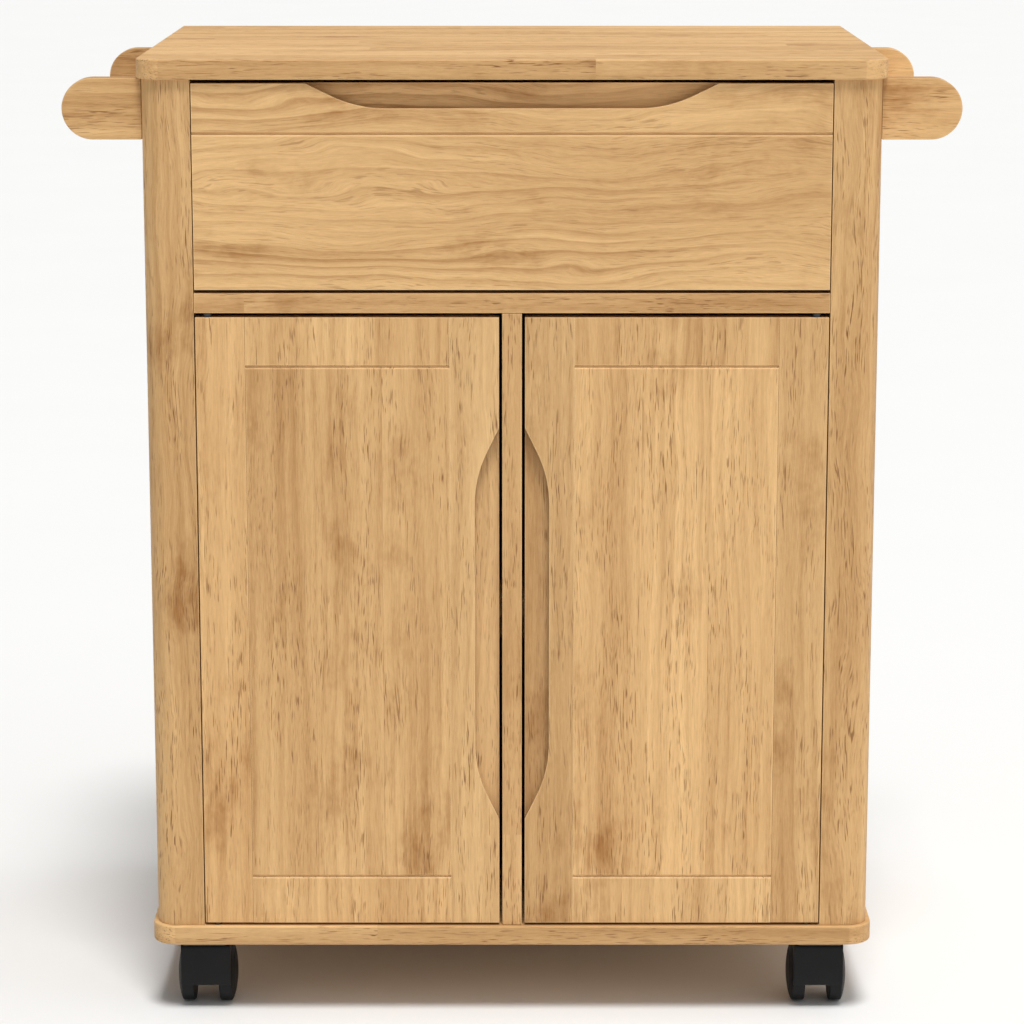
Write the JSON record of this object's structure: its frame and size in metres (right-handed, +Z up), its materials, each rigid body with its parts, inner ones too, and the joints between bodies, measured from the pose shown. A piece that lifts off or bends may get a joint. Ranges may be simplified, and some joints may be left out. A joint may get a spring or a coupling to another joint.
{
  "type": "kitchen island cart",
  "caption": "Pine kitchen cart with a drawer over a two-door cupboard, scooped finger pulls, towel rods on side brackets, and twin-wheel swivel castors.",
  "frame": {"origin": "the point on the floor under the middle of the cart's outer box", "axes": "+Z up, -Y out of the front with the drawer and doors, +X to the right when facing the front"},
  "size_m": [0.7206, 0.428, 0.795],
  "materials": {
    "pine": "satin wax over light honey-stained pine",
    "plywood": "sanded, unvarnished",
    "castor_plastic": "moulded, fine texture",
    "castor_tread": "moulded, satin",
    "catch_plastic": "moulded",
    "black_steel": "black, satin"
  },
  "bodies": {
    "cabinet": {"top_board": "pine", "bottom_board": "pine", "front_post_left": "pine", "front_post_right": "pine", "side_panel_left": "pine", "side_panel_right": "pine", "back_panel": "plywood", "drawer_deck": "pine", "centre_divider": "pine", "shelf_left": "pine", "shelf_right": "pine", "shelf_cleat_left_inner": "pine", "shelf_cleat_left_outer": "pine", "shelf_cleat_right_inner": "pine", "shelf_cleat_right_outer": "pine", "drawer_runner_left": "pine", "drawer_runner_right": "pine", "handle_bracket_left_front": "pine", "handle_bracket_left_rear": "pine", "handle_bracket_right_front": "pine", "handle_bracket_right_rear": "pine", "towel_rod_left": "pine", "towel_rod_right": "pine", "castor_plate_front_left": "black_steel", "castor_plate_front_right": "black_steel", "castor_plate_rear_left": "black_steel", "castor_plate_rear_right": "black_steel", "left_door_pin_lower": "black_steel", "left_door_pin_upper": "black_steel", "right_door_pin_lower": "black_steel", "right_door_pin_upper": "black_steel", "door_catch_left": "catch_plastic", "door_catch_right": "catch_plastic"},
    "drawer": {"drawer_front": "pine", "drawer_side_left": "pine", "drawer_side_right": "pine", "drawer_back": "pine", "drawer_bottom": "plywood"},
    "left_door": {"left_door_hinge_stile": "pine", "left_door_lock_stile": "pine", "left_door_top_rail": "pine", "left_door_bottom_rail": "pine", "left_door_panel": "pine"},
    "right_door": {"right_door_hinge_stile": "pine", "right_door_lock_stile": "pine", "right_door_top_rail": "pine", "right_door_bottom_rail": "pine", "right_door_panel": "pine"},
    "castor_front_left": {"castor_hood_front_left": "castor_plastic"},
    "wheel_front_left_left": {"castor_wheel_front_left_left": "castor_tread"},
    "wheel_front_left_right": {"castor_wheel_front_left_right": "castor_tread"},
    "castor_front_right": {"castor_hood_front_right": "castor_plastic"},
    "wheel_front_right_left": {"castor_wheel_front_right_left": "castor_tread"},
    "wheel_front_right_right": {"castor_wheel_front_right_right": "castor_tread"},
    "castor_rear_left": {"castor_hood_rear_left": "castor_plastic"},
    "wheel_rear_left_left": {"castor_wheel_rear_left_left": "castor_tread"},
    "wheel_rear_left_right": {"castor_wheel_rear_left_right": "castor_tread"},
    "castor_rear_right": {"castor_hood_rear_right": "castor_plastic"},
    "wheel_rear_right_left": {"castor_wheel_rear_right_left": "castor_tread"},
    "wheel_rear_right_right": {"castor_wheel_rear_right_right": "castor_tread"}
  },
  "joints": [
    {"name": "drawer_slide", "type": "slide", "parent": "cabinet", "child": "drawer", "axis": [0, -1, 0], "range_m": [0, 0.26]},
    {"name": "left_door_hinge", "type": "hinge", "parent": "cabinet", "child": "left_door", "pos_m": [-0.2452, -0.206, 0.334], "axis": [0, 0, -1], "range_deg": [0, 110]},
    {"name": "right_door_hinge", "type": "hinge", "parent": "cabinet", "child": "right_door", "pos_m": [0.2452, -0.206, 0.334], "axis": [0, 0, 1], "range_deg": [0, 110]},
    {"name": "castor_front_left_swivel", "type": "hinge", "parent": "cabinet", "child": "castor_front_left", "pos_m": [-0.257, -0.19, 0.05], "axis": [0, 0, 1], "continuous": true},
    {"name": "wheel_front_left_left_spin", "type": "hinge", "parent": "castor_front_left", "child": "wheel_front_left_left", "pos_m": [-0.2747, -0.171, 0.025], "axis": [1, 0, 0], "continuous": true},
    {"name": "wheel_front_left_right_spin", "type": "hinge", "parent": "castor_front_left", "child": "wheel_front_left_right", "pos_m": [-0.2393, -0.171, 0.025], "axis": [1, 0, 0], "continuous": true},
    {"name": "castor_front_right_swivel", "type": "hinge", "parent": "cabinet", "child": "castor_front_right", "pos_m": [0.257, -0.19, 0.05], "axis": [0, 0, 1], "continuous": true},
    {"name": "wheel_front_right_left_spin", "type": "hinge", "parent": "castor_front_right", "child": "wheel_front_right_left", "pos_m": [0.2393, -0.171, 0.025], "axis": [1, 0, 0], "continuous": true},
    {"name": "wheel_front_right_right_spin", "type": "hinge", "parent": "castor_front_right", "child": "wheel_front_right_right", "pos_m": [0.2747, -0.171, 0.025], "axis": [1, 0, 0], "continuous": true},
    {"name": "castor_rear_left_swivel", "type": "hinge", "parent": "cabinet", "child": "castor_rear_left", "pos_m": [-0.257, 0.166, 0.05], "axis": [0, 0, 1], "continuous": true},
    {"name": "wheel_rear_left_left_spin", "type": "hinge", "parent": "castor_rear_left", "child": "wheel_rear_left_left", "pos_m": [-0.2747, 0.185, 0.025], "axis": [1, 0, 0], "continuous": true},
    {"name": "wheel_rear_left_right_spin", "type": "hinge", "parent": "castor_rear_left", "child": "wheel_rear_left_right", "pos_m": [-0.2393, 0.185, 0.025], "axis": [1, 0, 0], "continuous": true},
    {"name": "castor_rear_right_swivel", "type": "hinge", "parent": "cabinet", "child": "castor_rear_right", "pos_m": [0.257, 0.166, 0.05], "axis": [0, 0, 1], "continuous": true},
    {"name": "wheel_rear_right_left_spin", "type": "hinge", "parent": "castor_rear_right", "child": "wheel_rear_right_left", "pos_m": [0.2393, 0.185, 0.025], "axis": [1, 0, 0], "continuous": true},
    {"name": "wheel_rear_right_right_spin", "type": "hinge", "parent": "castor_rear_right", "child": "wheel_rear_right_right", "pos_m": [0.2747, 0.185, 0.025], "axis": [1, 0, 0], "continuous": true}
  ]
}
